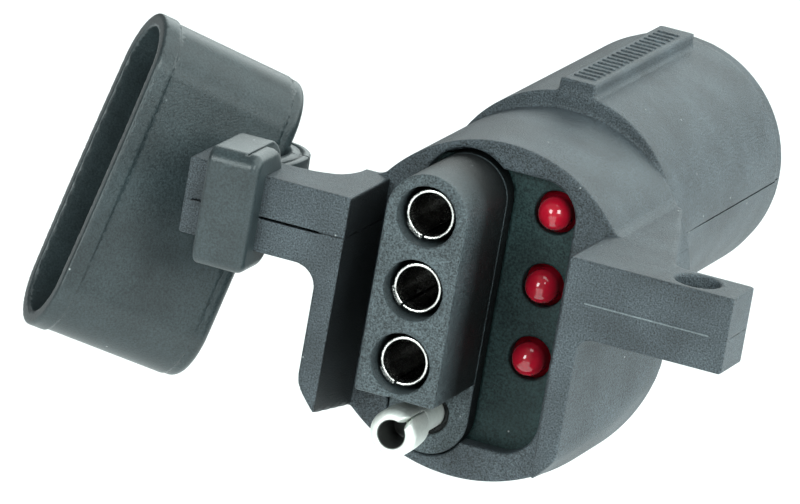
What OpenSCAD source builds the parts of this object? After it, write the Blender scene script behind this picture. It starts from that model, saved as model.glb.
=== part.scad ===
// Trailer wiring adapter: a flat four-pole head with test lamps, on a round six-pole plug,
// with a tethered rubber dust cap.
// Origin: on the plug barrel's axis, in the plane of its shoulder. +Y runs out along the
// barrel, +Z up through its key rib, and the flat head faces -Y.

/* [Flat head] */
// Distance between neighbouring poles
pitch = 10; // [9.5:0.1:10.5]
// Sideways place of the row of poles
block_x = -4.6; // [-6:0.1:-3]
// Height of the topmost socket
top_pole_z = 5.95; // [5:0.05:7]
// Half the width of the pole block, which is also the radius of its round ends
block_r = 5.6; // [5.3:0.1:6]
// How far the socket shroud stands out from the rim
shroud_len = 15.6; // [12:0.1:18]

/* [Housing] */
// Length of the front body, from the rim to the shoulder
body_len = 24.8; // [22:0.1:30]
// Radius of the domed top of the front body
dome_r = 20.3; // [19:0.1:22]
// Height of the dome's axis
dome_z = -6.2; // [-8:0.1:-5]
// Radius of the deep lower part of the front body
belly_r = 23.4; // [22:0.1:25]
// Height of the lower part's axis
belly_z = -8.5; // [-10:0.1:-7]
// Length of the lower part behind the rim
belly_len = 10; // [8:0.5:14]
// How far the side walls and arms stand out from the rim
wall_len = 14.8; // [12:0.1:17]
// Half the gap between the two side walls
wall_gap = 15.3; // [14.5:0.1:16]
// Half the width across the walls at their front edges
wall_out = 18.3; // [17.5:0.1:19]
// Radius of the walls' lower ends at their front edges
wall_end_r = 22.4; // [21.5:0.1:23]

/* [Arms] */
// Half the span from arm tip to arm tip
arm_reach = 38; // [34:0.1:42]
// Height of the arms
arm_h = 10.3; // [8:0.1:12]
// Depth of the arms
arm_depth = 8.6; // [7:0.1:10]
// Height of the flat top that arms, walls and gussets share
ledge_z = 5.6; // [5:0.1:6.5]
// Place of the hole in the right arm
ear_x = 31.5; // [28:0.1:34]
// Diameter of that hole
ear_d = 6; // [4:0.1:6.5]

/* [Round plug] */
// Radius of the barrel
barrel_r = 16.5; // [16:0.05:17.5]
// Length of the barrel behind the shoulder
barrel_len = 47.7; // [40:0.1:50]
// Width of the key rib
rib_w = 5; // [4:0.1:6]
// How far the key rib stands out
rib_h = 1.7; // [1.5:0.1:2.5]
// Length of the key rib
rib_len = 41.2; // [35:0.1:44]
// Radius of the circle of outer contacts
contact_ring = 9; // [8.5:0.1:9.4]
// Inner radius of a round contact
contact_r = 2.4; // [2:0.05:2.5]

/* [Dust cap] */
// Height of the cap across its two round ends
cap_h = 44.5; // [43:0.1:47]
// Thickness of the cap
cap_t = 15; // [14:0.1:17]
// Depth of the cap from mouth to closed end
cap_d = 21.9; // [20:0.1:26]
// Wall of the cap
cap_wall = 1.6; // [1.2:0.1:2]
// Width of the rubber loop on the arm
loop_w = 7.2; // [6:0.1:9]
// Wall of the rubber loop in front of and behind the arm
loop_wall = 3.5; // [2.5:0.1:4]
// Wall of the rubber loop above and below the arm
loop_top_wall = 2.9; // [2.5:0.1:4]
// Turn, pitch and roll of the cap as it hangs
cap_turn = [-10, 17, 33];
// Middle of the cap as it hangs
cap_at = [-46.5, -21.7, -5.9];

/* [Hidden] */
$fn = 96;

moulded = [0.24, 0.26, 0.28];
rubber = [0.15, 0.17, 0.18];
metal = [0.85, 0.85, 0.82];
brass = [0.80, 0.66, 0.32];
lamp_red = [0.72, 0.05, 0.10];
board_green = [0.10, 0.38, 0.20];
resistor_tan = [0.78, 0.66, 0.48];
core_black = [0.13, 0.14, 0.15];
wire_colours = [[0.95, 0.95, 0.93], [0.45, 0.28, 0.16], [0.92, 0.80, 0.15], [0.10, 0.45, 0.20]];

rim_y = -body_len;
front_y = rim_y - wall_len;
shroud_y = rim_y - shroud_len;
arm_low = ledge_z - arm_h;
arm_back_y = front_y + arm_depth;
gusset_x = [26.9, 18.1];
gusset_end_y = -2.4;
short_root_r = 7.9;
big = 200;
skin = 0.02;

// front opening and what sits in it
pocket_x = [-10.8, 10.6];
pocket_z = [-26.8, 10.6];
pocket_round = 5;
face_t = 2.7;
plate_t = 2;
plate_y = rim_y + face_t;
plate_back_y = plate_y + plate_t;
cavity_half = 14.6;
cavity_top = 12;
board_y = plate_back_y + 2.1;
board_t = 1.6;
board_gap = 0.2;
board_back_y = board_y + board_t;
belly_floor_y = rim_y + belly_len - 1.4;
dome_floor_y = -4;
passage_r = 12.4;
belly_inner_r = belly_r - 2.3;
dome_inner_r = dome_r - 2.4;

// poles of the flat head
pole_z = [for (i = [0:3]) top_pole_z - i * pitch];
shroud_low = pole_z[2] - block_r + 0.7;
well_r = 4.05;
well_len = 12;
block_flange = 1.8;
scallop_r = 5.3;
tube_r = 3.3;
tube_bore_r = 3;
tube_recess = 1.8;
tail_r = 0.8;
pin_tip_y = shroud_y + 1.5;
pin_shank_r = 2.1;

// lamps
led_x = 7;
led_r = 2.3;
led_well_r = 2.9;
led_flange_r = 3;
led_flange_t = 1;
led_proud = 2.4;
lead_half_gap = 1.27;
lead_r = 0.3;

// round plug's core
bore_r = 13.9;
core_y = [12, 42];
core_flange_y = [20, 23];
core_flange_r = 14.9;
contact_wall = 0.7;
contact_tail_y = 9;
contact_spots = concat([[0, 0]], [for (k = [0:4])
    [contact_ring * cos(90 + 72 * k), contact_ring * sin(90 + 72 * k)]]);

// rubber tether
loop_x = [-34.5, -34.5 + loop_w];
tether_gap = 0.3;
strap_t = 2.6;
strap_z = [-3.4, 4.8];
hinge_a = [-30, -25.4];
hinge_b = [-30.9, -14.7];
strap_bend = [-28.9, -19.4];

// ---------- helpers ----------

// Rounded rectangle with exact arcs, in the XY plane
module rounded_rect(low, high, r) {
    translate([low[0] + r, low[1]]) square([high[0] - low[0] - 2 * r, high[1] - low[1]]);
    translate([low[0], low[1] + r]) square([high[0] - low[0], high[1] - low[1] - 2 * r]);
    for (x = [low[0] + r, high[0] - r], y = [low[1] + r, high[1] - r])
        translate([x, y]) circle(r);
}

// Extrudes an outline drawn in X and Z from y0 to y1
module along_y(y0, y1) {
    translate([0, y1, 0]) rotate([90, 0, 0]) linear_extrude(y1 - y0) children();
}

// Cylinder along Y
module rod_y(x, z, r, y0, y1) {
    translate([x, y1, z]) rotate([90, 0, 0]) cylinder(h = y1 - y0, r = r);
}

// Stadium with its straight axis along the second direction
module stadium(r, half) {
    for (s = [-1, 1]) translate([0, s * half]) circle(r);
    translate([-r, -half]) square([2 * r, 2 * half]);
}

// Round wire that runs along Y and eases sideways from one place in X and Z to another
module eased_wire(start, end, y0, y1, r) {
    sides = 12;
    steps = 14;
    rings = [for (i = [0:steps])
        let (t = i / steps, ease = t * t * (3 - 2 * t), mid = start + (end - start) * ease)
        [for (k = [0:sides - 1])
            [mid[0] + r * cos(360 * k / sides), y0 + (y1 - y0) * t, mid[1] + r * sin(360 * k / sides)]]];
    walls = [for (i = [0:steps - 1], k = [0:sides - 1])
        [i * sides + k, i * sides + (k + 1) % sides,
         (i + 1) * sides + (k + 1) % sides, (i + 1) * sides + k]];
    first_end = [[for (k = [sides - 1:-1:0]) k]];
    last_end = [[for (k = [0:sides - 1]) steps * sides + k]];
    polyhedron([for (ring = rings, p = ring) p], concat(walls, first_end, last_end));
}

// Keeps only what lies above or below the parting plane through the barrel's axis
module half(side) {
    intersection() {
        children();
        translate([-big / 2, -big / 2, side > 0 ? 0 : -big]) cube(big);
    }
}

// ---------- housing ----------

// Outline of the pole block, grown by a gap
module block_outline(grow) {
    translate([block_x, (pole_z[0] + pole_z[3]) / 2])
        stadium(block_r + grow, (pole_z[0] - pole_z[3]) / 2);
}

// Lower part of the front body, with sides that flare towards the rear
module belly() {
    flare = atan((belly_r - wall_out) / (wall_len + belly_len));
    difference() {
        union() {
            rod_y(0, belly_z, belly_r, rim_y - skin, rim_y + belly_len);
            translate([0, rim_y, belly_z]) rotate([90, 0, 0])
                cylinder(h = wall_len, r1 = belly_r, r2 = wall_end_r);
        }
        translate([-big / 2, -big, ledge_z]) cube(big);
        for (s = [0, 1]) mirror([s, 0, 0])
            translate([wall_out, front_y, -big / 2]) rotate([0, 0, -flare])
                translate([0, -big / 2, 0]) cube(big);
        translate([-wall_gap, front_y - 1, -big / 2]) cube([2 * wall_gap, wall_len + 1, big]);
    }
}

// Long gusset behind the arm with the hole
module long_gusset() {
    translate([0, 0, arm_low]) linear_extrude(arm_h)
        polygon([[wall_gap, arm_back_y - 1], [gusset_x[0], arm_back_y - 1],
                 [gusset_x[0], arm_back_y], [gusset_x[1], gusset_end_y],
                 [cavity_half, 0], [cavity_half, rim_y], [wall_gap, rim_y]]);
}

// Short concave root behind the other arm, drawn on the +X side
module short_gusset() {
    reach = wall_out + short_root_r;
    translate([0, 0, arm_low]) linear_extrude(arm_h) difference() {
        translate([wall_gap, arm_back_y - 1]) square([reach - wall_gap, short_root_r + 1]);
        translate([reach, arm_back_y + short_root_r]) circle(short_root_r);
        translate([0, rim_y]) square([wall_gap + skin, short_root_r]);
    }
}

// One arm with the fillet under its root; drawn on the +X side
module arm() {
    root_r = 2.5;
    root_x = wall_out - 0.5;
    translate([wall_gap, front_y, arm_low]) cube([arm_reach - wall_gap, arm_depth, arm_h]);
    difference() {
        translate([root_x, front_y, arm_low - root_r])
            cube([root_r + 0.5, arm_depth, root_r]);
        translate([root_x + root_r + 0.5, front_y - 1, arm_low - root_r])
            rotate([-90, 0, 0]) cylinder(h = arm_depth + 2, r = root_r);
    }
}

// Round plug barrel with a rounded rear edge and its key rib
module barrel() {
    edge = 1.2;
    rotate([-90, 0, 0]) rotate_extrude() {
        square([barrel_r, barrel_len - edge]);
        square([barrel_r - edge, barrel_len]);
        translate([barrel_r - edge, barrel_len - edge]) circle(edge, $fn = 32);
    }
    translate([-rib_w / 2, 0, barrel_r - 2]) cube([rib_w, rib_len, rib_h + 2]);
}

// Slab that bounds the cavity sideways and at its top
module cavity_slab(half_width, top) {
    translate([-half_width, -big / 2, -big / 2]) cube([2 * half_width, big, big / 2 + top]);
}

// Everything that is hollow inside the two shells
module hollows() {
    // opening in the front face
    along_y(rim_y - 1, plate_y + skin) {
        rounded_rect([pocket_x[0], pocket_z[0]], [pocket_x[1], pocket_z[1]], pocket_round);
        block_outline(0.1);
        translate([block_x, pole_z[0]]) circle(block_r + 0.7);
    }
    // room for the lamp plate, the board and the wires
    intersection() {
        rod_y(0, belly_z, belly_inner_r, plate_y, belly_floor_y);
        cavity_slab(cavity_half, cavity_top);
    }
    intersection() {
        rod_y(0, dome_z, dome_inner_r, belly_floor_y - 1, dome_floor_y);
        cavity_slab(cavity_half, cavity_top - 1);
    }
    rod_y(0, 0, passage_r, dome_floor_y - 1, core_y[0]);
    // seat of the terminal core
    rod_y(0, 0, bore_r, core_y[0], barrel_len + 1);
    rod_y(0, 0, core_flange_r, core_flange_y[0], core_flange_y[1]);
}

module housing() {
    difference() {
        union() {
            belly();
            rod_y(0, dome_z, dome_r, rim_y, 0);
            barrel();
            for (s = [0, 1]) mirror([s, 0, 0]) arm();
            long_gusset();
            mirror([1, 0, 0]) short_gusset();
        }
        hollows();
        translate([ear_x, front_y + arm_depth / 2, arm_low - 1]) cylinder(h = arm_h + 2, d = ear_d);
    }
}

module upper_shell() {
    color(moulded) half(1) housing();
}

module lower_shell() {
    color(moulded) half(-1) housing();
}

// ---------- flat head ----------

// Floor of the front pocket, with the three lamp wells
module lamp_plate() {
    color(moulded) difference() {
        intersection() {
            rod_y(0, belly_z, belly_inner_r, plate_y, plate_back_y);
            cavity_slab(cavity_half, cavity_top);
        }
        for (i = [0:2]) rod_y(led_x, pole_z[i], led_well_r, plate_y - 1, plate_back_y + 1);
        along_y(plate_y - 1, plate_back_y + 1) block_outline(block_flange);
    }
}

// Block of four poles: a shroud over three sockets and a lower step that carries the pin
module flat_block() {
    color(moulded) difference() {
        union() {
            intersection() {
                along_y(shroud_y, rim_y + 1) block_outline(0);
                translate([-big / 2, -big / 2, shroud_low]) cube(big);
            }
            along_y(rim_y, plate_y + skin) block_outline(0);
            intersection() {
                along_y(plate_y, plate_back_y) block_outline(block_flange);
                rod_y(0, belly_z, belly_inner_r, plate_y, plate_back_y);
                cavity_slab(cavity_half, cavity_top);
            }
        }
        for (i = [0:2]) {
            rod_y(block_x, pole_z[i], well_r, shroud_y - 1, shroud_y + well_len);
            rod_y(block_x, pole_z[i], tube_r, shroud_y + well_len - 1, plate_back_y + 1);
        }
        rod_y(block_x, pole_z[3], pin_shank_r, rim_y - 1, plate_back_y + 1);
        // shallow scallop over the pin
        rod_y(block_x, pole_z[3], scallop_r, shroud_y - 1, rim_y - 0.5);
    }
}

// Rolled terminal of one socket, with its solder tail
module socket_tube(i) {
    color(metal) difference() {
        union() {
            rod_y(block_x, pole_z[i], tube_r, shroud_y + tube_recess, plate_back_y);
            rod_y(block_x, pole_z[i], tail_r, plate_back_y - 1, board_back_y + 1);
        }
        rod_y(block_x, pole_z[i], tube_bore_r, shroud_y, plate_back_y - 1.2);
    }
}

module socket_tube_1() { socket_tube(0); }
module socket_tube_2() { socket_tube(1); }
module socket_tube_3() { socket_tube(2); }

// Exposed ground pin: a rolled bulb with an open mouth, a neck and a shank
module ground_pin() {
    bulb_r = 3.2;
    bulb_len = 7.6;
    mouth_r = 1.8;
    tip_round = 1.1;
    length = plate_back_y - pin_tip_y;
    color(metal) translate([block_x, pin_tip_y, pole_z[3]]) rotate([-90, 0, 0]) difference() {
        rotate_extrude() {
            translate([bulb_r - tip_round, tip_round]) circle(tip_round, $fn = 32);
            translate([0, tip_round]) square([bulb_r, bulb_len - 2 * tip_round]);
            square([bulb_r - tip_round, bulb_len]);
            translate([bulb_r - tip_round, bulb_len - tip_round]) circle(tip_round, $fn = 32);
            square([pin_shank_r, length]);
            square([tail_r, belly_floor_y - 0.1 - pin_tip_y]);
        }
        translate([0, 0, -1]) cylinder(h = bulb_len, r = mouth_r);
    }
}

// ---------- lamps and board ----------

// One 5 mm lamp: dome, barrel and flange
module led(i) {
    tip_y = plate_y - led_proud;
    color(lamp_red) translate([led_x, tip_y, pole_z[i]]) rotate([-90, 0, 0]) rotate_extrude() {
        intersection() {
            translate([0, led_r]) circle(led_r);
            square([led_r, led_r]);
        }
        translate([0, led_r - skin])
            square([led_r, plate_back_y + led_flange_t - tip_y - led_r + skin]);
        translate([0, plate_back_y - tip_y]) square([led_flange_r, led_flange_t]);
    }
}

module led_1() { led(0); }
module led_2() { led(1); }
module led_3() { led(2); }

// Two wire legs on each lamp
module led_leads() {
    color(metal) for (i = [0:2], s = [-1, 1])
        rod_y(led_x + s * lead_half_gap, pole_z[i], lead_r,
              plate_back_y + led_flange_t, board_back_y + 1);
}

// Board that joins terminals, lamps and wires
module circuit_board() {
    color(board_green) difference() {
        intersection() {
            rod_y(0, belly_z, belly_inner_r - board_gap, board_y, board_back_y);
            cavity_slab(cavity_half - board_gap, cavity_top - 2 * board_gap);
        }
        for (i = [0:3]) rod_y(block_x, pole_z[i], tail_r, board_y - 1, board_back_y + 1);
        for (i = [0:2], s = [-1, 1])
            rod_y(led_x + s * lead_half_gap, pole_z[i], lead_r, board_y - 1, board_back_y + 1);
    }
}

// Three series resistors lying on the back of the board, one below each lamp
module resistors() {
    body_r = 0.9;
    body_len = 3.8;
    color(resistor_tan) for (i = [0:2])
        translate([led_x + 3, board_back_y + body_r, pole_z[i] - body_len - 1.1])
            cylinder(h = body_len, r = body_r);
}

// Insulated wire from the board to one round contact
module wire(colour, start, contact) {
    wire_r = 0.9;
    color(wire_colours[colour])
        eased_wire(start, contact_spots[contact], board_back_y, contact_tail_y, wire_r);
}

module wire_ground() { wire(0, [-1, -11.5], 3); }
module wire_tail() { wire(1, [-8.5, -9], 2); }
module wire_left() { wire(2, [-8.5, 3], 1); }
module wire_right() { wire(3, [1, -3], 5); }

// ---------- round plug ----------

// Insulating core with five contacts round one in the middle
module terminal_core() {
    color(core_black) difference() {
        union() {
            rod_y(0, 0, bore_r, core_y[0], core_y[1]);
            rod_y(0, 0, core_flange_r, core_flange_y[0], core_flange_y[1]);
        }
        for (spot = contact_spots)
            rod_y(spot[0], spot[1], contact_r + contact_wall, core_y[0] - 1, core_y[1] + 1);
    }
}

// Brass sleeve contact, blind at its inner end
module round_contact(k) {
    tail_pin_r = 1.2;
    blind_len = 4;
    spot = contact_spots[k];
    color(brass) difference() {
        union() {
            rod_y(spot[0], spot[1], contact_r + contact_wall, core_y[0], core_y[1] - 0.5);
            rod_y(spot[0], spot[1], tail_pin_r, contact_tail_y, core_y[0] + 1);
        }
        rod_y(spot[0], spot[1], contact_r, core_y[0] + blind_len, core_y[1]);
    }
}

module round_contact_1() { round_contact(0); }
module round_contact_2() { round_contact(1); }
module round_contact_3() { round_contact(2); }
module round_contact_4() { round_contact(3); }
module round_contact_5() { round_contact(4); }
module round_contact_6() { round_contact(5); }

// ---------- rubber tether and cap ----------

// Rubber loop that grips the left arm, with a lug on its back for the strap
module cap_loop() {
    y0 = front_y - loop_wall;
    y1 = arm_back_y + loop_wall;
    color(rubber) {
        translate([loop_x[0], 0, 0]) rotate([90, 0, 90]) linear_extrude(loop_w) difference() {
            rounded_rect([y0, arm_low - loop_top_wall], [y1, ledge_z + loop_top_wall], 2);
            translate([front_y, arm_low]) square([arm_depth, arm_h]);
        }
        difference() {
            translate([hinge_a[0] - strap_t / 2, y1 - 1, strap_z[0]])
                cube([strap_t, hinge_a[1] - y1 + 1, strap_z[1] - strap_z[0]]);
            translate([hinge_a[0], hinge_a[1], strap_z[0] - 1])
                cylinder(h = big, r = strap_t / 2 + tether_gap);
        }
    }
}

// Flat rubber strap between the loop's lug and the cap's lug
module cap_strap() {
    color(rubber) translate([0, 0, strap_z[0]]) linear_extrude(strap_z[1] - strap_z[0])
        for (leg = [[hinge_a, strap_bend], [strap_bend, hinge_b]]) {
            d = leg[1] - leg[0];
            for (p = leg) translate(p) circle(strap_t / 2, $fn = 48);
            translate(leg[0]) rotate(atan2(d[1], d[0]))
                translate([0, -strap_t / 2]) square([norm(d), strap_t]);
        }
}

// Cap's outline across its depth, drawn upright
module cap_shape(grow, x0, x1) {
    translate([x0, 0, 0]) rotate([90, 0, 90]) linear_extrude(x1 - x0)
        stadium(cap_t / 2 + grow, (cap_h - cap_t) / 2);
}

// Rubber dust cap, open at its far end, with a thicker lip round the mouth
module dust_cap() {
    lip_len = 2.6;
    lip_proud = 0.3;
    lug_len = 5;
    lug_t = 2.2;
    lug_turn = 138;
    color(rubber) difference() {
        union() {
            translate(cap_at) rotate(cap_turn) {
                cap_shape(-lip_proud, -cap_d / 2, cap_d / 2);
                cap_shape(0, -cap_d / 2, -cap_d / 2 + lip_len);
            }
            // lug towards the strap
            translate([hinge_b[0], hinge_b[1], strap_z[0]]) rotate([0, 0, cap_turn[2] + lug_turn])
                translate([0, -lug_t / 2, 0]) cube([lug_len, lug_t, strap_z[1] - strap_z[0]]);
        }
        translate(cap_at) rotate(cap_turn)
            cap_shape(-lip_proud - cap_wall, -cap_d / 2 - 1, cap_d / 2 - cap_wall);
        translate([hinge_b[0], hinge_b[1], strap_z[0] - 1])
            cylinder(h = strap_z[1] - strap_z[0] + 2, r = strap_t / 2 + tether_gap);
    }
}

upper_shell();
lower_shell();
lamp_plate();
flat_block();
socket_tube_1();
socket_tube_2();
socket_tube_3();
ground_pin();
led_1();
led_2();
led_3();
led_leads();
circuit_board();
resistors();
wire_ground();
wire_tail();
wire_left();
wire_right();
terminal_core();
round_contact_1();
round_contact_2();
round_contact_3();
round_contact_4();
round_contact_5();
round_contact_6();
cap_loop();
cap_strap();
dust_cap();
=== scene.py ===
from math import atan, atan2, cos, pi, radians, sin

import bmesh
import bpy
import numpy as np
from mathutils import Matrix, Vector


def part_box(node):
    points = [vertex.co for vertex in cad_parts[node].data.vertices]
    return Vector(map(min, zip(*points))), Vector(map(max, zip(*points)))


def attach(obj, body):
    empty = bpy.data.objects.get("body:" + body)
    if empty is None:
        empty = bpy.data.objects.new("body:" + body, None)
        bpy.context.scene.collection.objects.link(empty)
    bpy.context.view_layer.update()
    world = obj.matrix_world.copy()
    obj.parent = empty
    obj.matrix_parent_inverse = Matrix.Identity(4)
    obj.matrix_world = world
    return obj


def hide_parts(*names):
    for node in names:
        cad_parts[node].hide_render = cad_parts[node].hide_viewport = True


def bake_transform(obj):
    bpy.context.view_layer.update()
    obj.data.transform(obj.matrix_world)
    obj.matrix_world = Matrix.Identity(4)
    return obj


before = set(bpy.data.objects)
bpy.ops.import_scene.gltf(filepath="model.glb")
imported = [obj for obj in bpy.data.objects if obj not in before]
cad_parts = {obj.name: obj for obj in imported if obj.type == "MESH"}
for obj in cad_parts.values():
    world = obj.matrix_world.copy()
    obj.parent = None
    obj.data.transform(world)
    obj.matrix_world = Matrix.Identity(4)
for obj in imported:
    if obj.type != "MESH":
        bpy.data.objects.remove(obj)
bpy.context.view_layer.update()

# The adapter's looks. Lengths are in millimetres until a mesh is made. A moulded piece is a distance
# field: a function of x, y and z that is negative inside the piece. mould() turns it into a mesh.
MM = 0.001


# ---------- places ----------

def node_box(name):
    low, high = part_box(name)
    return [v / MM for v in low], [v / MM for v in high]


def middle(name):
    low, high = node_box(name)
    return [(a + b) / 2 for a, b in zip(low, high)]


shell_low, shell_high = node_box("upper_shell")
arm_reach, front_y, barrel_end = shell_high[0], shell_low[1], shell_high[1]
rib_top = shell_high[2]
block_low, block_high = node_box("flat_block")
plate_low, plate_high = node_box("lamp_plate")
loop_low, loop_high = node_box("cap_loop")
strap_low, strap_high = node_box("cap_strap")
pin_low, pin_high = node_box("ground_pin")
core_low, core_high = node_box("terminal_core")
tubes = [f"socket_tube_{i}" for i in (1, 2, 3)]
lamps = [f"led_{i}" for i in (1, 2, 3)]
contacts = [f"round_contact_{i}" for i in range(1, 7)]

shroud_y = block_low[1]
plate_y, plate_back_y = plate_low[1], plate_high[1]
pole_x = middle("ground_pin")[0]
pole_z = [middle(t)[2] for t in tubes] + [middle("ground_pin")[2]]
lamp_x = middle("led_1")[0]

rim_y = -24.8
ledge_z = 5.6
arm_low_z = -4.7
arm_back_y = -31.0
dome_r, dome_z, dome_wall = 20.3, -6.2, 2.4
belly_r, belly_z, belly_back_y, belly_wall = 23.15, -8.5, -14.8, 2.3
plate_r = belly_r - belly_wall - 0.1
wall_gap, wall_out, wall_end_r, left_wall_trim = 15.3, 18.3, 22.4, 0.65
# the right arm's long gusset and the left arm's concave root
gusset_x, gusset_tip, short_root_r = 26.9, (18.1, -2.4), 7.9
# where the left side slopes in under the dome, and how far it goes in for each mm down
tuck_x, tuck_y, tuck_slope = 16.9, -23.0, 0.5
barrel_r, barrel_lip, rib_half, rib_end = 16.5, 3.0, 2.5, 41.2
neck_bore_r, core_r, collar_r, collar_y = 12.4, 13.9, 14.9, (20, 23)
block_r, flange_width = 5.6, 1.8
shroud_low_z = -18.95
pocket_x, pocket_z, pocket_round = (-10.8, 10.6), (-26.8, 10.6), 5.0
ear_x, ear_r = 31.5, 3.0
cavity_half, cavity_top = 14.6, 12.0
FAR = 200.0


# ---------- distance fields ----------

def outside(*parts):
    """Distance beyond several limits at once."""
    return np.sqrt(sum(np.maximum(p, 0) ** 2 for p in parts))


def block(x, y, z, low, high, r=0.0):
    """Box with rounded edges."""
    q = [abs(v - (a + b) / 2) - (b - a) / 2 + r for v, a, b in zip((x, y, z), low, high)]
    return outside(*q) + np.minimum(np.maximum(np.maximum(q[0], q[1]), q[2]), 0) - r


def extrude(flat, v, a, b, r=0.0):
    """Outline given by its flat distance, extruded from a to b along v, its end edges rounded."""
    q = (flat + r, abs(v - (a + b) / 2) - (b - a) / 2 + r)
    return outside(*q) + np.minimum(np.maximum(*q), 0) - r


def disc(u, v, cu, cv, r):
    return np.hypot(u - cu, v - cv) - r


def round_rect(u, v, low, high, r):
    q = [abs(w - (a + b) / 2) - (b - a) / 2 + r for w, a, b in zip((u, v), low, high)]
    return outside(*q) + np.minimum(np.maximum(*q), 0) - r


def polygon(u, v, corners):
    """Signed distance to a flat polygon, negative inside."""
    near = None
    inside = False
    for (ax, ay), (bx, by) in zip(corners, corners[1:] + corners[:1]):
        ex, ey = bx - ax, by - ay
        t = np.clip(((u - ax) * ex + (v - ay) * ey) / (ex * ex + ey * ey), 0, 1)
        d = np.hypot(u - ax - t * ex, v - ay - t * ey)
        near = d if near is None else np.minimum(near, d)
        if ay != by:
            crosses = ((ay > v) != (by > v)) & (u < (v - ay) / (by - ay) * ex + ax)
            inside = inside ^ crosses
    return np.where(inside, -near, near)


def join(a, b, r=0.0):
    """Union, with a fillet of radius r where the two meet."""
    if not r:
        return np.minimum(a, b)
    return np.maximum(r, np.minimum(a, b)) - outside(r - a, r - b)


def keep(a, b, r=0.0):
    """What is in both, with its new edges rounded to radius r."""
    if not r:
        return np.maximum(a, b)
    return np.minimum(-r, np.maximum(a, b)) + outside(r + a, r + b)


def carve(a, b, r=0.0):
    return keep(a, -b, r)


def stadium(x, z, grow=0.0):
    """Outline of the pole block."""
    return disc(x, z - np.clip(z, pole_z[3], pole_z[0]), pole_x, 0, block_r + grow)


# ---------- from field to mesh ----------

def field_at(shape, points):
    return shape(points[:, 0], points[:, 1], points[:, 2])


def slope(shape, points, reach=0.03):
    """Outward direction of the field at each point."""
    steps = np.eye(3) * reach
    grad = np.stack([field_at(shape, points + s) - field_at(shape, points - s) for s in steps], 1)
    return grad / np.maximum(np.linalg.norm(grad, axis=1, keepdims=True), 1e-9)


def net(shape, low, high, step):
    """Surface net of a field: one point in each grid cell that the surface passes through."""
    axes = [np.arange(a - 1.5 * step, b + 2.5 * step, step) for a, b in zip(low, high)]
    grid = [a.reshape([-1 if i == k else 1 for i in range(3)]) for k, a in enumerate(axes)]
    size = [len(a) for a in axes]
    f = np.broadcast_to(shape(*grid), size)
    inside = f < 0
    cells = [n - 1 for n in size]
    corners = [(i, j, k) for i in (0, 1) for j in (0, 1) for k in (0, 1)]
    count = sum(inside[i:i + cells[0], j:j + cells[1], k:k + cells[2]].astype(np.uint8)
                for i, j, k in corners)
    spots = np.argwhere((count > 0) & (count < 8))
    index = np.full(cells, -1, np.int64)
    index[tuple(spots.T)] = np.arange(len(spots))
    start = np.array([a[0] for a in axes])
    place, hits = np.zeros((len(spots), 3)), np.zeros(len(spots))
    crossings = []
    for a in corners:
        for axis in range(3):
            if a[axis]:
                continue
            b = tuple(v + (i == axis) for i, v in enumerate(a))
            fa, fb = f[tuple((spots + a).T)], f[tuple((spots + b).T)]
            cut = np.flatnonzero((fa < 0) != (fb < 0))
            p = spots[cut] + np.array(a, float)
            p[:, axis] += fa[cut] / (fa[cut] - fb[cut])
            place[cut] += p
            hits[cut] += 1
            crossings.append((cut, p))
    place /= hits[:, None]
    # the point of a cell goes where the tangent planes at its crossings meet, which keeps edges crisp
    square, push = np.tile(np.eye(3) * 0.04, (len(spots), 1, 1)), np.zeros((len(spots), 3))
    for cut, p in crossings:
        n = slope(shape, start + step * p)
        square[cut] += n[:, :, None] * n[:, None, :]
        push[cut] += n * np.sum(n * (p - place[cut]), 1, keepdims=True)
    place += np.clip(np.linalg.solve(square, push[:, :, None])[:, :, 0], -0.6, 0.6)
    points = start + step * place
    quads = []
    for axis in range(3):
        u, v = [i for i in range(3) if i != axis]
        lo = [slice(1, -1)] * 3
        lo[axis] = slice(None, -1)
        hi = list(lo)
        hi[axis] = slice(1, None)
        first, second = inside[tuple(lo)], inside[tuple(hi)]
        edge = np.argwhere(first != second)
        out = first[tuple(edge.T)]
        edge[:, [u, v]] += 1
        ring = []
        for du, dv in ((-1, -1), (0, -1), (0, 0), (-1, 0)):
            c = edge.copy()
            c[:, u] += du
            c[:, v] += dv
            ring.append(index[tuple(c.T)])
        quad = np.stack(ring, 1)
        flip = out if axis == 1 else ~out
        quad[flip] = quad[flip][:, ::-1]
        quads.append(quad)
    return points, np.concatenate(quads)


def settle(shape, points, step, rounds=5):
    """Moves points onto the surface itself."""
    for _ in range(rounds):
        move = field_at(shape, points)[:, None] * slope(shape, points)
        points = points - np.clip(move, -step / 2, step / 2)
    return points


def make_mesh(name, points, faces):
    mesh = bpy.data.meshes.new(name)
    faces = np.asarray(faces)
    mesh.vertices.add(len(points))
    mesh.vertices.foreach_set("co", (np.asarray(points) * MM).astype(np.float32).ravel())
    mesh.loops.add(faces.size)
    mesh.loops.foreach_set("vertex_index", faces.astype(np.int32).ravel())
    mesh.polygons.add(len(faces))
    mesh.polygons.foreach_set("loop_start", np.arange(0, faces.size, faces.shape[1], dtype=np.int32))
    mesh.update(calc_edges=True)
    mesh.validate()
    mesh.shade_smooth()
    return mesh


def add(name, mesh, material, body=None, replaces=(), slot=None):
    obj = bpy.data.objects.new(name, mesh)
    bpy.context.scene.collection.objects.link(obj)
    mesh.materials.append(material)
    if body:
        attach(obj, body)
    if replaces:
        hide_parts(*replaces)
    return obj


def mould(name, shape, low, high, step, **piece):
    """A piece whose surface and shading follow a field."""
    points, faces = net(shape, low, high, step)
    points = settle(shape, points, step)
    mesh = make_mesh(name, points, faces)
    mesh.normals_split_custom_set_from_vertices(slope(shape, points).tolist())
    return add(name, mesh, **piece)


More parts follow.
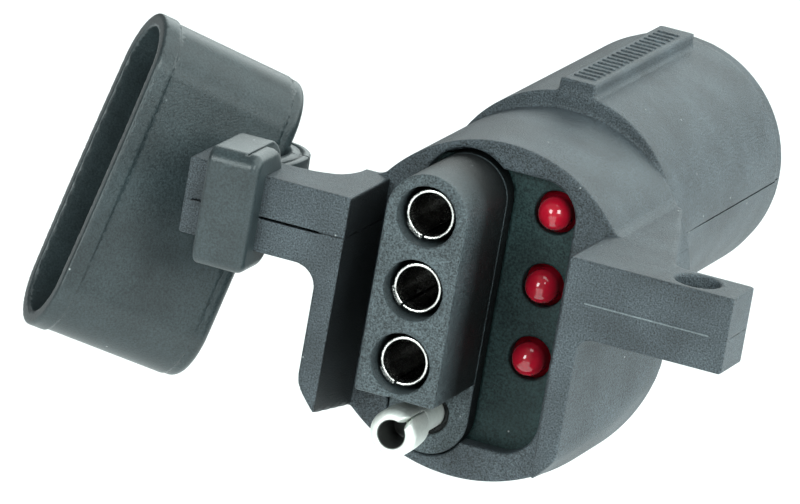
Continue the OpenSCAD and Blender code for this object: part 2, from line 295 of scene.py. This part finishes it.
def mould_half(name, shape, raw, side, gap, **piece):
    """One of two shells: the net cut at the parting plane, closed, and opened a little there."""
    mesh = make_mesh(name, *raw)
    bm = bmesh.new()
    bm.from_mesh(mesh)
    cut = bmesh.ops.bisect_plane(bm, geom=bm.verts[:] + bm.edges[:] + bm.faces[:], dist=1e-7,
                                 plane_co=(0, 0, 0), plane_no=(0, 0, 1),
                                 clear_outer=side < 0, clear_inner=side > 0)
    rims = [e for e in cut["geom_cut"] if isinstance(e, bmesh.types.BMEdge)]
    bmesh.ops.triangle_fill(bm, use_beauty=True, use_dissolve=False, edges=rims,
                            normal=(0, 0, -side))
    rim_verts = {v for e in rims for v in e.verts}
    for v in rim_verts:
        v.co.z = side * gap(v.co.x / MM, v.co.y / MM) * MM / 2
    bm.faces.index_update()
    lids = [f.index for f in bm.faces if all(v in rim_verts for v in f.verts)]
    bm.to_mesh(mesh)
    bm.free()
    mesh.shade_smooth()
    points = np.array([v.co for v in mesh.vertices]) / MM
    normals = slope(shape, points)[[l.vertex_index for l in mesh.loops]]
    for i in lids:
        p = mesh.polygons[i]
        normals[p.loop_start:p.loop_start + p.loop_total] = (0, 0, -side)
    mesh.normals_split_custom_set(normals.tolist())
    return add(name, mesh, **piece)


def lathe(profile, x, z, sides=64):
    """Closed mesh of a profile of (radius, y) turned about a line along Y; ends at radius 0."""
    inner = [p for p in profile if p[0] > 1e-6]
    points = [(x + r * cos(2 * pi * k / sides), y, z + r * sin(2 * pi * k / sides))
              for r, y in inner for k in range(sides)]
    faces = [(i * sides + k, i * sides + (k + 1) % sides,
              (i + 1) * sides + (k + 1) % sides, (i + 1) * sides + k)
             for i in range(len(inner) - 1) for k in range(sides)]
    bm = bmesh.new()
    verts = [bm.verts.new(Vector(p) * MM) for p in points]
    for f in faces:
        bm.faces.new([verts[i] for i in f])
    bm.faces.new(verts[:sides][::-1])
    bm.faces.new(verts[-sides:])
    bmesh.ops.recalc_face_normals(bm, faces=bm.faces[:])
    mesh = bpy.data.meshes.new("lathe")
    bm.to_mesh(mesh)
    bm.free()
    mesh.shade_smooth()
    return mesh


# ---------- materials ----------

def finish(name, colour, rough, grain=0.35, depth=0.02, mottle=0.25, dust=0.0, metal=0.0,
           coat=0.0, speckle=0.3, deep_shade=None, specular=0.5, niche_shade=False, bore=None):
    """Procedural surface: broad tone changes, fine grain in colour and relief, and specks of dust.
    deep is (y, length, share): painted shade deeper in; past y the colour falls to that share over
    that length, except on the rim's own face. niche paints shade on the faces between the side
    walls. bore is (x, z, radius, share): painted shade, dark inside that radius."""
    mat = bpy.data.materials.new(name)
    mat.use_nodes = True
    nodes, links = mat.node_tree.nodes, mat.node_tree.links
    shader = nodes["Principled BSDF"]
    coords = nodes.new("ShaderNodeTexCoord").outputs["Object"]

    def noise(size, detail):
        node = nodes.new("ShaderNodeTexNoise")
        node.inputs["Scale"].default_value = 1 / (size * MM)
        node.inputs["Detail"].default_value = detail
        links.new(coords, node.inputs["Vector"])
        return node.outputs["Fac"]

    def remap(value, a, b, low=0.3, high=0.7):
        node = nodes.new("ShaderNodeMapRange")
        for key, v in (("From Min", low), ("From Max", high), ("To Min", a), ("To Max", b)):
            node.inputs[key].default_value = v
        links.new(value, node.inputs["Value"])
        return node.outputs["Result"]

    def math(operation, a, b=None):
        node = nodes.new("ShaderNodeMath")
        node.operation = operation
        links.new(a, node.inputs[0])
        if b:
            links.new(b, node.inputs[1])
        return node.outputs[0]

    def multiply(a, b):
        return math("MULTIPLY", a, b)

    fine, wide = noise(grain, 3), noise(7, 3)
    tone = multiply(remap(wide, 1 - mottle, 1 + mottle), remap(fine, 1 - speckle, 1 + speckle))
    split = nodes.new("ShaderNodeSeparateXYZ")
    links.new(coords, split.inputs[0])
    # painted shade: past y the colour darkens, standing in for the shade deep inside
    if deep_shade:
        y, length, share = deep_shade
        fall = remap(split.outputs["Y"], 1, share, y * MM, (y + length) * MM)
        from_rim = remap(split.outputs["Y"], 0, 1, (rim_y - 0.15) * MM, (rim_y - 0.1) * MM)
        to_edge = remap(split.outputs["Y"], 1, 0, (rim_y + 0.2) * MM, (rim_y + 0.4) * MM)
        tone = multiply(tone, math("MAXIMUM", fall, multiply(from_rim, to_edge)))
    # painted shade: faces between the side walls, behind the rim, are darkened
    if niche_shade:
        beside = remap(math("ABSOLUTE", split.outputs["X"]), 0.2, 1, (wall_gap + 0.04) * MM,
                       (wall_gap + 0.12) * MM)
        behind = remap(split.outputs["Y"], 0.2, 1, (rim_y - 0.3) * MM, (rim_y - 0.2) * MM)
        tone = multiply(tone, math("MAXIMUM", beside, behind))
    # painted shade: dark inside the given radius, standing in for the shade inside a bore
    if bore:
        x, z, radius, share = bore
        flat = nodes.new("ShaderNodeVectorMath")
        flat.operation = "MULTIPLY"
        flat.inputs[1].default_value = (1, 0, 1)
        links.new(coords, flat.inputs[0])
        away = nodes.new("ShaderNodeVectorMath")
        away.operation = "DISTANCE"
        away.inputs[1].default_value = (x * MM, 0, z * MM)
        links.new(flat.outputs["Vector"], away.inputs[0])
        tone = multiply(tone, remap(away.outputs["Value"], share, 1, radius * MM, (radius + 0.12) * MM))
    scale = nodes.new("ShaderNodeVectorMath")
    scale.operation = "SCALE"
    scale.inputs[0].default_value = colour
    links.new(tone, scale.inputs["Scale"])
    out = scale.outputs[0]
    if dust:
        cells = nodes.new("ShaderNodeTexVoronoi")
        cells.inputs["Scale"].default_value = 1 / (1.5 * MM)
        links.new(coords, cells.inputs["Vector"])
        near = remap(cells.outputs["Distance"], 1, 0, 0.05, 0.12)
        rare = nodes.new("ShaderNodeSeparateColor")
        links.new(cells.outputs["Color"], rare.inputs[0])
        some = remap(rare.outputs[0], 0, 1, 1 - dust, 1 - dust + 0.02)
        blend = nodes.new("ShaderNodeMix")
        blend.data_type = "RGBA"
        links.new(multiply(near, some), blend.inputs["Factor"])
        links.new(out, blend.inputs["A"])
        blend.inputs["B"].default_value = (0.35, 0.37, 0.37, 1)
        out = blend.outputs["Result"]
    links.new(out, shader.inputs["Base Color"])
    links.new(remap(fine, rough - 0.07, rough + 0.07), shader.inputs["Roughness"])
    bump = nodes.new("ShaderNodeBump")
    bump.inputs["Distance"].default_value = depth * MM
    bump.inputs["Strength"].default_value = 1
    links.new(fine, bump.inputs["Height"])
    links.new(bump.outputs["Normal"], shader.inputs["Normal"])
    shader.inputs["Metallic"].default_value = metal
    shader.inputs["Coat Weight"].default_value = coat
    shader.inputs["Specular IOR Level"].default_value = specular
    return mat


# painted shade darkens the housing's faces between the side walls
plastic = finish("moulded_plastic", (0.050, 0.062, 0.070), 0.50, grain=0.22, depth=0.15,
                 speckle=0.8, dust=0.06, specular=0.35, niche_shade=True)
# painted shade: the block's colour darkens deeper into the wells and behind the shroud
block_plastic = finish("block_plastic", (0.058, 0.073, 0.079), 0.50, grain=0.22, depth=0.10,
                       speckle=0.8, dust=0.08, specular=0.3, deep_shade=(shroud_y + 0.5, 8, 0.06))
# painted shade: a darker copy of the housing plastic for the deep recess round the block
recess_shade_plastic = finish("recess_shade_plastic", (0.018, 0.036, 0.036), 0.50, grain=0.25, depth=0.08,
                        speckle=0.6, dust=0.08, specular=0.2)
rubber = finish("rubber", (0.026, 0.037, 0.040), 0.36, grain=0.25, depth=0.03, speckle=0.4, dust=0.12)
lens = finish("red_lens", (0.42, 0.006, 0.022), 0.12, grain=0.8, depth=0.004, speckle=0.08, coat=0.6)
tinned = finish("terminal_metal", (0.78, 0.77, 0.74), 0.26, grain=0.25, depth=0.006, mottle=0.1,
                speckle=0.12, metal=1.0)
# painted shade darkens the inside of the pin's mouth
pin_metal = finish("pin_metal", (0.80, 0.83, 0.79), 0.42, grain=0.5, depth=0.006, mottle=0.08,
                   speckle=0.06, metal=0.55, bore=(pole_x, pole_z[3], 1.9, 0.10))
# painted shade: the sleeves' colour darkens deeper inside them
tube_metal = finish("socket_metal", (0.80, 0.79, 0.76), 0.24, grain=0.25, depth=0.006, mottle=0.1,
                    speckle=0.15, metal=1.0, deep_shade=(shroud_y + 2.0, 2.5, 0.14))
brass = finish("contact_brass", (0.75, 0.56, 0.24), 0.25, grain=0.3, depth=0.005, mottle=0.12,
               speckle=0.12, metal=1.0)
core_plastic = finish("core_plastic", (0.020, 0.023, 0.024), 0.42, grain=0.4, depth=0.012)
laminate = finish("board_laminate", (0.02, 0.17, 0.06), 0.3, grain=0.5, depth=0.01, coat=0.3)
lacquer = finish("resistor_body", (0.52, 0.40, 0.22), 0.35, grain=0.4, depth=0.01)
wire_tones = {"wire_white": (0.74, 0.74, 0.71), "wire_brown": (0.16, 0.07, 0.03),
              "wire_yellow": (0.75, 0.55, 0.04), "wire_green": (0.02, 0.22, 0.06)}
wire_skins = {slot: finish(slot, tone, 0.38, grain=0.6, depth=0.01, speckle=0.08)
              for slot, tone in wire_tones.items()}


# ---------- housing ----------

def lower_body(x, y, z):
    """Belly, side walls, arms and gussets, under the flat ledge."""
    ax = abs(x)
    flare = atan((belly_r - wall_out) / (belly_back_y - front_y))
    end_r = np.where(x < 0, wall_end_r - left_wall_trim, wall_end_r)
    wall_r = belly_r + (belly_r - end_r) * np.clip((y - rim_y) / (rim_y - front_y), -1, 0)
    belly = extrude(np.hypot(x, z - belly_z) - wall_r, y, front_y - 3, belly_back_y, 0.3)
    side = (ax - wall_out) * cos(flare) - (y - front_y) * sin(flare)
    belly = keep(belly, side, 0.6)
    arm = round_rect(ax, y, (wall_gap, front_y - 3), (arm_reach, arm_back_y), 0.6)
    gusset = polygon(ax, y, [(wall_gap, front_y), (gusset_x, front_y), (gusset_x, arm_back_y),
                             gusset_tip, (cavity_half, 0), (cavity_half, rim_y), (wall_gap, rim_y)])
    long_side = join(arm, gusset, 1.5)
    wall = round_rect(ax, y, (wall_gap, front_y), (wall_out - 0.1, belly_back_y), 0.3)
    short_side = join(arm, wall, short_root_r)
    wings = extrude(np.where(x > 0, long_side, short_side), z, arm_low_z, ledge_z + 3, 0.5)
    fillet = np.where(x < 0, 3.0, 1.9)
    body = np.maximum(fillet, np.minimum(belly, wings)) - outside(fillet - belly, fillet - wings)
    body = keep(body, z - ledge_z, 0.25)
    # behind the wall the left side slopes in under the dome; 0.89 makes the slant a distance
    over = (-x - tuck_x - tuck_slope * (ledge_z - z)) * 0.89
    body = carve(body, keep(-over, tuck_y - y), 0.5)
    body = keep(body, front_y - y, 0.25)
    gap = block(x, y, z, (-wall_gap, -FAR, -FAR), (wall_gap, rim_y, FAR), 0.4)
    return carve(body, gap, 0.3)


def pocket(x, y, z):
    """Opening in the front face, with the notch over the block."""
    flat = join(round_rect(x, z, (pocket_x[0], pocket_z[0]), (pocket_x[1], pocket_z[1]), pocket_round),
                disc(x, z, pole_x, pole_z[0], block_r + 0.7))
    return extrude(join(flat, stadium(x, z, 0.15)), y, -FAR, plate_y)


def hollows(x, y, z):
    """Room inside the shells for the plate, board, wires and core."""
    slab = abs(x) - cavity_half
    front = keep(extrude(disc(x, z, 0, belly_z, belly_r - belly_wall), y, plate_y, -16.2),
                 np.maximum(slab, z - cavity_top))
    rear = keep(extrude(disc(x, z, 0, dome_z, dome_r - dome_wall), y, -17, -4),
                np.maximum(slab, z - cavity_top + 1))
    bore = join(extrude(disc(x, z, 0, 0, neck_bore_r), y, -5, 13),
                extrude(disc(x, z, 0, 0, core_r), y, 12, barrel_end + 5))
    return join(join(front, rear), join(bore, extrude(disc(x, z, 0, 0, collar_r), y, *collar_y)))


def housing(x, y, z):
    lower = lower_body(x, y, z)
    dome = extrude(disc(x, z, 0, dome_z, dome_r), y, rim_y - 3, 0, 0.5)
    body = keep(join(dome, lower, 0.8), rim_y - y, 0.25)
    body = join(body, lower)
    barrel = extrude(disc(x, z, 0, 0, barrel_r), y, 0, barrel_end - barrel_lip, 0.25)
    barrel = join(barrel, extrude(disc(x, z, 0, 0, core_r), y, -5, 5))
    rim = extrude(disc(x, z, 0, 0, barrel_r - 0.25), y, barrel_end - 8, barrel_end, 0.7)
    barrel = join(barrel, rim)
    rib = block(x, y, z, (-rib_half, 0, 10), (rib_half, rib_end, rib_top), 0.3)
    body = join(join(body, barrel, 0.4), rib, 0.6)
    body = carve(body, pocket(x, y, z), 0.35)
    body = carve(body, hollows(x, y, z), 0.2)
    hole = disc(x, y, ear_x, (front_y + arm_back_y) / 2, ear_r)
    return carve(body, hole, 0.35)


def smooth(t):
    t = min(max(t, 0.0), 1.0)
    return t * t * (3 - 2 * t)


def parting_gap(x, y):
    """How far the shells stand apart: a hairline, wider on the left arm's face and along the barrel."""
    hairline, arm_gap, barrel_gap = 0.05, 0.34, 0.16
    gap = hairline if x < 15 or y > front_y + 1 else 0.0
    if x < -18 and y < front_y + 1.5:
        gap += arm_gap * smooth((x + 27.5) / 0.5) * smooth((-18.2 - x) / 1.2)
    if y > 6 and x > 10:
        gap += barrel_gap * smooth((y - 6) / 10) * smooth((barrel_end - 1.2 - y) / 0.5)
    return gap


shell_step = 0.42
house_low = [-arm_reach, front_y, node_box("lower_shell")[0][2]]
house_high = [arm_reach, barrel_end, rib_top]
raw = net(housing, house_low, house_high, shell_step)
raw = (settle(housing, raw[0], shell_step), raw[1])
for side, name in ((1, "upper"), (-1, "lower")):
    mould_half(f"{name}_housing", housing, raw, side, parting_gap, material=plastic,
               body="adapter", replaces=[f"{name}_shell"], slot="moulded_plastic")


flash_high = (arm_reach - 2.5, front_y + 0.3, 0.1)


def flash(x, y, z):
    """Thin ridge of moulding flash along the parting line of the right arm."""
    wave = 0.05 * np.sin(x * 1.7) * np.sin(x * 0.45)
    return block(x, y + wave, z, (wall_out, front_y - 0.12, -0.1), flash_high, 0.08)


# painted highlight: the ridge is coloured lighter than the housing to show the light line along it
mould("arm_flash", flash, (wall_out, front_y - 0.2, -0.1), flash_high, 0.07,
      material=finish("flash_ridge_highlight", (0.15, 0.18, 0.19), 0.5), body="adapter", slot="moulded_plastic")


def rib_bars(x, y, z):
    """Plain row of small raised bars along the rib's top."""
    pitch, first, last = 1.9, 3.0, 38.0
    half_x, half_y, sunk, proud = 1.6, 0.38, 0.4, 0.22
    row = first + pitch * np.clip(np.round((y - first) / pitch), 0, round((last - first) / pitch))
    return block(x, y - row, z, (-half_x, -half_y, rib_top - sunk), (half_x, half_y, rib_top + proud), 0.2)


mould("rib_bars", rib_bars, (-1.7, 2, rib_top - 0.4), (1.7, 39, rib_top + 0.3), 0.2,
      material=plastic, body="adapter", slot="moulded_plastic")


# ---------- flat head ----------

def lamp_plate(x, y, z):
    well_r = 2.9
    slab = np.maximum(abs(x) - cavity_half, z - cavity_top)
    flat = np.maximum(disc(x, z, 0, belly_z, plate_r), slab)
    body = extrude(keep(flat, -stadium(x, z, 0.01)), y, plate_y, plate_back_y, 0.06)
    body = carve(body, extrude(stadium(x, z, flange_width + 0.02), y, plate_y + 1.0, FAR))
    for lamp_z in pole_z[:3]:
        body = carve(body, disc(x, z, lamp_x, lamp_z, well_r), 0.3)
    return body


def flat_block(x, y, z):
    well_r, well_length, tube_hole_r = 4.05, 12, 3.35
    scallop_r, pin_well_r, pin_hole_r = 5.3, 2.9, 2.15
    shroud = keep(extrude(stadium(x, z), y, shroud_y, rim_y + 1, 0.3), shroud_low_z - z, 0.4)
    base = extrude(stadium(x, z), y, rim_y, plate_back_y, 0.4)
    flange = extrude(keep(stadium(x, z, flange_width), disc(x, z, 0, belly_z, plate_r)), y,
                     plate_y + 1.05, plate_back_y, 0.06)
    body = join(join(shroud, base), flange)
    for socket_z in pole_z[:3]:
        well = extrude(disc(x, z, pole_x, socket_z, well_r), y, -FAR, shroud_y + well_length)
        body = carve(body, well, 0.3)
        body = carve(body, disc(x, z, pole_x, socket_z, tube_hole_r))
    scallop = extrude(disc(x, z, pole_x, pole_z[3], scallop_r), y, -FAR, rim_y - 0.5)
    body = carve(body, scallop, 0.2)
    body = carve(body, extrude(disc(x, z, pole_x, pole_z[3], pin_well_r), y, -FAR, rim_y + 0.6), 0.2)
    return carve(body, disc(x, z, pole_x, pole_z[3], pin_hole_r), 0.1)


# the lamp panel takes the darker plastic: painted shade in the recess
mould("lamp_panel", lamp_plate, plate_low, plate_high, 0.4, material=recess_shade_plastic, body="adapter",
      replaces=["lamp_plate"], slot="moulded_plastic")
mould("pole_block", flat_block, block_low, block_high, 0.33, material=block_plastic, body="adapter",
      replaces=["flat_block"], slot="moulded_plastic")


tail_r = 0.8


def socket_sleeve(name, seam):
    """Rolled sheet tube with an open seam, a rounded mouth and an overlapping end near the mouth."""
    x, _, z = middle(name)
    low, high = node_box(name)
    y0, r, sheet, reach = low[1], 3.1, 0.4, 3.7

    def shape(px, py, pz):
        away = np.hypot(px - x, pz - z)
        turn = np.arctan2(pz - z, px - x) - radians(seam)
        turn = (turn + pi) % (2 * pi) - pi
        tube = extrude(abs(away - r) - sheet / 2, py, y0, plate_back_y, 0.12)
        slit = abs(turn) * r - 0.14
        tube = carve(tube, slit, 0.05)
        lap = extrude(abs(away - r - sheet) - sheet / 2, py, y0 + 0.35, y0 + 6, 0.1)
        lap = keep(lap, abs(turn + 0.45) * r - 1.25, 0.1)
        floor = extrude(away - r, py, plate_back_y - 1.2, plate_back_y)
        tail = extrude(away - tail_r, py, plate_back_y - 1, high[1], 0.2)
        return join(join(tube, lap), join(floor, tail))

    return mould(name.replace("tube", "sleeve"), shape, (x - reach, y0, z - reach),
                 (x + reach, high[1], z + reach), 0.15, material=tube_metal, body="adapter",
                 replaces=[name], slot="terminal_metal")


for tube, seam in zip(tubes, (-100, -122, -104)):
    socket_sleeve(tube, seam)


def rolled_pin(x, y, z):
    """Bulb rolled from sheet, with a notched mouth, a seam, a neck and a shank."""
    y0 = pin_low[1]
    bulb_r, neck_r, shank_r, mouth_r, seam_at = 3.2, 1.75, 2.1, 1.8, 52
    r = np.hypot(x - pole_x, z - pole_z[3])
    turn = np.arctan2(z - pole_z[3], x - pole_x) - radians(seam_at)
    turn = (turn + pi) % (2 * pi) - pi
    bulb = extrude(r - bulb_r + 0.35 * np.clip((y - y0 - 3.5) / 4.1, 0, 1) ** 2, y, y0, y0 + 7.6, 1.25)
    neck = extrude(r - neck_r, y, y0 + 5, y0 + 9.5)
    shank = extrude(r - shank_r, y, y0 + 8.6, plate_back_y, 0.5)
    tail = extrude(r - tail_r, y, plate_back_y - 2, pin_high[1], 0.2)
    body = join(join(bulb, neck, 0.35), join(shank, tail))
    mouth = extrude(r - mouth_r, y, y0 - 5, y0 + 6.2)
    body = carve(body, mouth, 0.55)
    half = 0.10 + 0.62 * np.clip(1 - (y - y0) / 2.2, 0, 1) ** 2
    seam = np.maximum(abs(turn) * np.maximum(r, 0.5) - half, np.maximum(y - y0 - 6.4, 1.2 - r))
    return carve(body, seam, 0.15)


mould("bullet_pin", rolled_pin, pin_low, pin_high, 0.17, material=pin_metal, body="adapter",
      replaces=["ground_pin"], slot="terminal_metal")


def lamp(name):
    """Lamp: domed lens, barrel and a flange at the back."""
    low, high = node_box(name)
    tip, back, r, flange_r, steps = low[1], high[1], 2.3, 3.0, 14
    dome = [(r * sin(a), tip + r * (1 - cos(a))) for a in (pi / 2 * i / steps for i in range(1, steps + 1))]
    body = [(r, back - 1.15), (r + 0.1, back - 1.02), (flange_r, back - 1.0),
            (flange_r, back - 0.1), (flange_r - 0.1, back)]
    mesh = lathe([(0.05, tip)] + dome + body, lamp_x, middle(name)[2])
    return add(f"lamp_{name[-1]}", mesh, lens, "adapter", [name], "red_lens")


for name in lamps:
    lamp(name)


# ---------- round plug ----------

contact_r, contact_bore_r = 3.1, 2.4


def core(x, y, z):
    groove_r = 12.6
    body = join(extrude(disc(x, z, 0, 0, core_r), y, core_low[1], core_high[1], 0.4),
                extrude(disc(x, z, 0, 0, collar_r), y, *collar_y, 0.2))
    body = carve(body, extrude(abs(np.hypot(x, z) - groove_r) - 0.35, y, core_high[1] - 0.6, FAR), 0.1)
    for name in contacts:
        cx, _, cz = middle(name)
        body = carve(body, disc(x, z, cx, cz, contact_r), 0.3)
    return body


mould("core_moulding", core, core_low, core_high, 0.4, material=core_plastic, body="adapter",
      replaces=["terminal_core"], slot="core_plastic")


def sleeve_contact(name):
    """Turned sleeve with two spring slots in its mouth."""
    x, _, z = middle(name)
    low, high = node_box(name)
    away = atan2(z, x)

    def shape(px, py, pz):
        r = np.hypot(px - x, pz - z)
        body = join(extrude(r - contact_r, py, 12, high[1], 0.25), extrude(r - 1.2, py, low[1], 14, 0.2))
        body = carve(body, extrude(r - contact_bore_r, py, 16, FAR), 0.25)
        across = abs((px - x) * sin(away) - (pz - z) * cos(away)) - 0.3
        return carve(body, np.maximum(across, high[1] - 9 - py), 0.1)

    return mould(name.replace("round_contact", "contact_sleeve"), shape, low, high, 0.25, material=brass,
                 body="adapter", replaces=[name], slot="contact_brass")


for name in contacts:
    sleeve_contact(name)


# ---------- rubber parts ----------

def loop(x, y, z):
    """Loop round the arm: a wide band, and a bead along its inner side that ends short of the back."""
    groove_x = loop_high[0] - 2.1
    y0, y1, z0, z1 = loop_low[1], arm_back_y + 3.5, loop_low[2], loop_high[2]

    def outline(back_y, back_r):
        front = round_rect(y, z, (y0, z0), (y0 + back_r + 2.6, z1), 2.0)
        return join(front, round_rect(y, z, (y0 + 0.2, z0), (back_y, z1), back_r))

    band = extrude(outline(y1, 5.6), x, loop_low[0], groove_x, 0.6)
    bead = extrude(outline(arm_back_y - 1.8, 3.7), x, loop_low[0] + 1.0, loop_high[0], 1.3)
    body = join(band, bead)
    groove = np.maximum(abs(x - groove_x) - 0.16, np.maximum(z1 - 0.4 - z, y0 + 1.2 - y))
    body = carve(body, groove, 0.05)
    hole = round_rect(y, z, (front_y, arm_low_z), (arm_back_y, ledge_z), 0.3)
    return carve(body, hole, 0.1)


mould("arm_loop", loop, loop_low, (loop_high[0], arm_back_y + 3.5, loop_high[2]), 0.22,
      material=rubber, body="adapter", replaces=["cap_loop"], slot="rubber")

cap_at = np.array([-46.5, -21.7, -5.9])
cap_turn = [radians(a) for a in (-10, 17, 33)]
cap_frame = np.array(Matrix.Rotation(cap_turn[2], 3, "Z") @ Matrix.Rotation(cap_turn[1], 3, "Y")
                     @ Matrix.Rotation(cap_turn[0], 3, "X"))
cap_half, cap_r, cap_wall = 10.95, 7.5, 1.6
cap_straight = 14.75


def cap_in_place(x, y, z):
    """Cap in its own axes: X from the mouth to the closed end, Z along the long way."""
    proud, lip = 0.3, 2.6
    # a little shorter at the closed end
    long = cap_straight + 0.1 - 0.35 * (1 + x / cap_half)
    end = z - np.clip(z, -long, long)
    # the long sides bow out a little towards the mouth
    bow = 0.35 * np.clip(-x / cap_half, 0, 1) * np.clip(1 - (z / cap_straight) ** 2, 0, 1)
    flat = np.hypot(y, end) - bow
    outer = extrude(flat - cap_r + proud + 0.15, x, -cap_half, cap_half, 1.3)
    outer = join(outer, extrude(flat - cap_r + proud, x, -cap_half, cap_half - 2.0, 0.25))
    rim = extrude(flat - cap_r, x, -cap_half, -cap_half + lip, 0.35)
    body = join(outer, rim, 0.1)
    inner = extrude(flat - cap_r + proud + cap_wall, x, -FAR, cap_half - cap_wall, 1.0)
    return carve(body, inner, 0.3)


def cap(x, y, z):
    d = [x - cap_at[0], y - cap_at[1], z - cap_at[2]]
    local = [sum(cap_frame[i][k] * d[i] for i in range(3)) for k in range(3)]
    return cap_in_place(*local)


cap_low, cap_high = node_box("dust_cap")
mould("rubber_cap", cap, cap_low, cap_high, 0.4, material=rubber, body="cap",
      replaces=["dust_cap"], slot="rubber")


def band(points, t, low_z, high_z, count=40):
    """Upright rubber band along a smooth plan curve, with a groove along its top edge."""
    knots = [np.array(p, float) for p in points]
    knots = [2 * knots[0] - knots[1]] + knots + [2 * knots[-1] - knots[-2]]
    spans = len(points) - 1
    line = []
    for i in range(count + 1):
        s = spans * i / count
        k = min(int(s), spans - 1)
        u = s - k
        a, b, c, d = knots[k:k + 4]
        line.append(0.5 * (2 * b + (c - a) * u + (2 * a - 5 * b + 4 * c - d) * u ** 2
                           + (3 * b - a - 3 * c + d) * u ** 3))
    half, r = t / 2, 0.45
    section = [(-half, 0), (-half, 0.25), (-half, 0.5), (-half, 0.75)]
    top = [(-half + r * (1 - cos(a)), 1, -r + r * sin(a)) for a in (0.4, 0.8, 1.2, pi / 2)]
    notch = [(0.0, 1, 0), (0.12, 1, -0.3), (0.3, 1, -0.3), (0.42, 1, 0)]
    ring = ([(u, s, 0) for u, s in section] + top + notch
            + [(-u, s, w) for u, s, w in reversed(top)]
            + [(-u, s, 0) for u, s in reversed(section)])
    verts, faces = [], []
    for i, p in enumerate(line):
        d = line[min(i + 1, count)] - line[max(i - 1, 0)]
        side = np.array([d[1], -d[0]]) / np.linalg.norm(d)
        for u, s, w in ring:
            q = p + side * u
            verts.append((q[0], q[1], low_z + s * (high_z - low_z) + w))
    n = len(ring)
    for i in range(count):
        for k in range(n):
            faces.append((i * n + k, i * n + (k + 1) % n, (i + 1) * n + (k + 1) % n, (i + 1) * n + k))
    bm = bmesh.new()
    made = [bm.verts.new(Vector(v) * MM) for v in verts]
    for f in faces:
        bm.faces.new([made[i] for i in f])
    bm.faces.new(made[:n])
    bm.faces.new(made[-n:])
    bmesh.ops.recalc_face_normals(bm, faces=bm.faces[:])
    mesh = bpy.data.meshes.new("band")
    bm.to_mesh(mesh)
    bm.free()
    mesh.shade_smooth()
    return mesh


band_low, band_top = strap_low[2], strap_high[2] - 0.5
meet, tether_t = (-29.8, -20.3), 3.0
near_route = [(-30.6, -29.0), (-30.4, -26.4), (-29.9, -23.2), meet]
far_route = [meet, (-30.5, -18.2), (-32.0, -16.6), (-34.3, -15.9)]
tether_near = add("tether_near", band(near_route, tether_t, band_low, band_top), rubber,
                  replaces=["cap_strap"], slot="rubber")
tether_far = add("tether_far", band(far_route, tether_t, band_low, band_top), rubber, slot="rubber")


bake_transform(tether_near)
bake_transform(tether_far)


# ---------- pieces that stay as the CAD made them ----------

carried = {"led_leads": tinned, "circuit_board": laminate, "resistors": lacquer,
           "wire_ground": wire_skins["wire_white"], "wire_tail": wire_skins["wire_brown"],
           "wire_left": wire_skins["wire_yellow"], "wire_right": wire_skins["wire_green"]}
for name, material in carried.items():
    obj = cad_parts[name]
    obj.data.materials.clear()
    obj.data.materials.append(material)


# ---------- studio ----------

def stage_floor():
    height, half = -0.150, 3.0
    mesh = bpy.data.meshes.new("floor")
    mesh.from_pydata([(-half, -half, height), (half, -half, height), (half, half + 2, height),
                      (-half, half + 2, height)], [], [(0, 1, 2, 3)])
    mat = bpy.data.materials.new("floor")
    mat.use_nodes = True
    shader = mat.node_tree.nodes["Principled BSDF"]
    shader.inputs["Base Color"].default_value = (0.95, 0.95, 0.95, 1)
    shader.inputs["Roughness"].default_value = 0.9
    add("floor", mesh, mat)


def softbox(name, place, aim, size, power, height=None):
    light = bpy.data.lights.new(name, "AREA")
    light.energy = power
    light.size = size
    light.color = (0.89, 1.0, 0.99)
    if height:
        light.shape = "RECTANGLE"
        light.size_y = height
    obj = bpy.data.objects.new(name, light)
    obj.location = place
    obj.rotation_euler = (Vector(aim) - Vector(place)).to_track_quat("-Z", "Y").to_euler()
    bpy.context.scene.collection.objects.link(obj)


stage_floor()
softbox("overhead", (0.45, 0.1, 1.0), (0, 0, 0), 1.1, 9)
softbox("back", (0.1, 1.5, 0.75), (0, 0, 0), 2.2, 20, 1.1)
softbox("right", (1.3, 0.25, 0.2), (0, 0, 0), 1.3, 19)
softbox("window_left", (-0.32, -1.02, 0.32), (0, -0.02, 0), 0.40, 6.3, 0.46)
softbox("window_right", (0.64, -0.78, 0.48), (0, -0.02, 0), 0.40, 6.3, 0.46)

world = bpy.data.worlds.new("studio")
bpy.context.scene.world = world
world.use_nodes = True
background = world.node_tree.nodes["Background"]
background.inputs["Color"].default_value = (1, 1, 1, 1)
background.inputs["Strength"].default_value = 0.28
bpy.context.scene.view_settings.view_transform = "Standard"

distance, azimuth, elevation, roll = 1.400, radians(17.85), radians(14.92), radians(10.1)
look_at = Vector((-0.01085, -0.0291, -0.0026))
turn = (Matrix.Rotation(azimuth, 3, "Z") @ Matrix.Rotation(pi / 2 - elevation, 3, "X")
        @ Matrix.Rotation(roll, 3, "Z"))
camera_data = bpy.data.cameras.new("camera")
camera_data.sensor_width = 36
camera_data.lens = 482.2
camera_data.clip_end = 20
camera = bpy.data.objects.new("camera", camera_data)
camera.matrix_world = Matrix.Translation(look_at + turn @ Vector((0, 0, distance))) @ turn.to_4x4()
bpy.context.scene.collection.objects.link(camera)
bpy.context.scene.camera = camera
